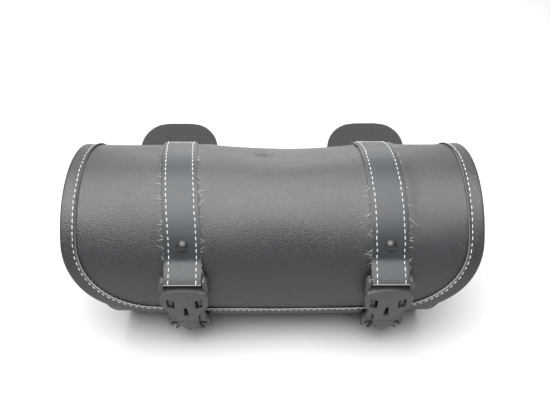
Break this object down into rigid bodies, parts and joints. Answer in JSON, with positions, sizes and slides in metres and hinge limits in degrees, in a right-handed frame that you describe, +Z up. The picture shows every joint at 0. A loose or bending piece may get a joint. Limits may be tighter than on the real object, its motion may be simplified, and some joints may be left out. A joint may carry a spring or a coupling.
{
  "type": "motorcycle tail bag",
  "caption": "Barrel-shaped black tail bag with a stitched flap, two riveted straps, side-release buckles and mounting straps behind.",
  "frame": {"origin": "centre of the flat base under the barrel's axis, halfway along its length", "axes": "+X along the barrel to the viewer's right, -Y out of the front with the buckles, +Z up"},
  "size_m": [0.29, 0.1923, 0.1319],
  "materials": {
    "leather": "satin",
    "binding": "satin",
    "board": "matte",
    "lining": "matte",
    "webbing": "matte",
    "woven": "matte",
    "buckle": "satin",
    "rivet": "satin black",
    "thread": "matte"
  },
  "bodies": {
    "bag": {"body_shell": "leather", "body_board": "board", "body_lining": "lining", "left_end_panel": "leather", "right_end_panel": "leather", "left_end_board": "board", "right_end_board": "board", "left_piping": "binding", "right_piping": "binding", "front_mouth_binding": "binding", "back_mouth_binding": "binding", "flap_seam_margin": "leather", "left_lower_webbing": "webbing", "right_lower_webbing": "webbing", "left_buckle_plug": "buckle", "right_buckle_plug": "buckle", "left_mount_patch": "woven", "right_mount_patch": "woven"},
    "flap": {"flap_panel": "leather", "flap_lining": "lining", "flap_binding": "binding", "left_strap": "leather", "right_strap": "leather", "left_strap_webbing": "webbing", "right_strap_webbing": "webbing", "left_rivet": "rivet", "right_rivet": "rivet", "left_rivet_washer": "rivet", "right_rivet_washer": "rivet", "left_buckle_socket": "buckle", "right_buckle_socket": "buckle"},
    "left_buckle_left_prong": {"left_buckle_left_prong": "buckle"},
    "left_buckle_right_prong": {"left_buckle_right_prong": "buckle"},
    "right_buckle_left_prong": {"right_buckle_left_prong": "buckle"},
    "right_buckle_right_prong": {"right_buckle_right_prong": "buckle"},
    "left_upper_mount_tab": {"left_upper_mount_tab": "woven"},
    "left_lower_mount_tab": {"left_lower_mount_tab": "woven"},
    "right_upper_mount_tab": {"right_upper_mount_tab": "woven"},
    "right_lower_mount_tab": {"right_lower_mount_tab": "woven"}
  },
  "joints": [
    {"name": "flap_hinge", "type": "hinge", "parent": "bag", "child": "flap", "pos_m": [0, 0.06642, 0.07592], "axis": [-1, 0, 0], "range_deg": [0, 95]},
    {"name": "left_buckle_left_pinch", "type": "hinge", "parent": "bag", "child": "left_buckle_left_prong", "pos_m": [-0.07128, -0.06905, 0.03363], "axis": [0, 0.9781, 0.2079], "range_deg": [0, 6], "stiffness_Nm_per_rad": 0.3},
    {"name": "left_buckle_right_pinch", "type": "hinge", "parent": "bag", "child": "left_buckle_right_prong", "pos_m": [-0.05168, -0.06905, 0.03363], "axis": [0, -0.9781, -0.2079], "range_deg": [0, 6], "stiffness_Nm_per_rad": 0.3},
    {"name": "right_buckle_left_pinch", "type": "hinge", "parent": "bag", "child": "right_buckle_left_prong", "pos_m": [0.0707, -0.06905, 0.03363], "axis": [0, 0.9781, 0.2079], "range_deg": [0, 6], "stiffness_Nm_per_rad": 0.3},
    {"name": "right_buckle_right_pinch", "type": "hinge", "parent": "bag", "child": "right_buckle_right_prong", "pos_m": [0.0903, -0.06905, 0.03363], "axis": [0, -0.9781, -0.2079], "range_deg": [0, 6], "stiffness_Nm_per_rad": 0.3},
    {"name": "left_upper_tab_bend", "type": "hinge", "parent": "bag", "child": "left_upper_mount_tab", "pos_m": [-0.0841, 0.06759, 0.06062], "axis": [-1, 0, 0], "range_deg": [-25, 35], "stiffness_Nm_per_rad": 0.05},
    {"name": "left_lower_tab_bend", "type": "hinge", "parent": "bag", "child": "left_lower_mount_tab", "pos_m": [-0.0841, 0.06465, 0.04204], "axis": [-1, 0, 0], "range_deg": [-30, 12], "stiffness_Nm_per_rad": 0.05},
    {"name": "right_upper_tab_bend", "type": "hinge", "parent": "bag", "child": "right_upper_mount_tab", "pos_m": [0.0841, 0.06759, 0.06062], "axis": [-1, 0, 0], "range_deg": [-25, 35], "stiffness_Nm_per_rad": 0.05},
    {"name": "right_lower_tab_bend", "type": "hinge", "parent": "bag", "child": "right_lower_mount_tab", "pos_m": [0.0841, 0.06465, 0.04204], "axis": [-1, 0, 0], "range_deg": [-30, 12], "stiffness_Nm_per_rad": 0.05}
  ],
  "couplings": [
    {"joint": "left_buckle_left_pinch", "follows": "left_buckle_right_pinch", "ratio": 1},
    {"joint": "right_buckle_left_pinch", "follows": "right_buckle_right_pinch", "ratio": 1}
  ]
}
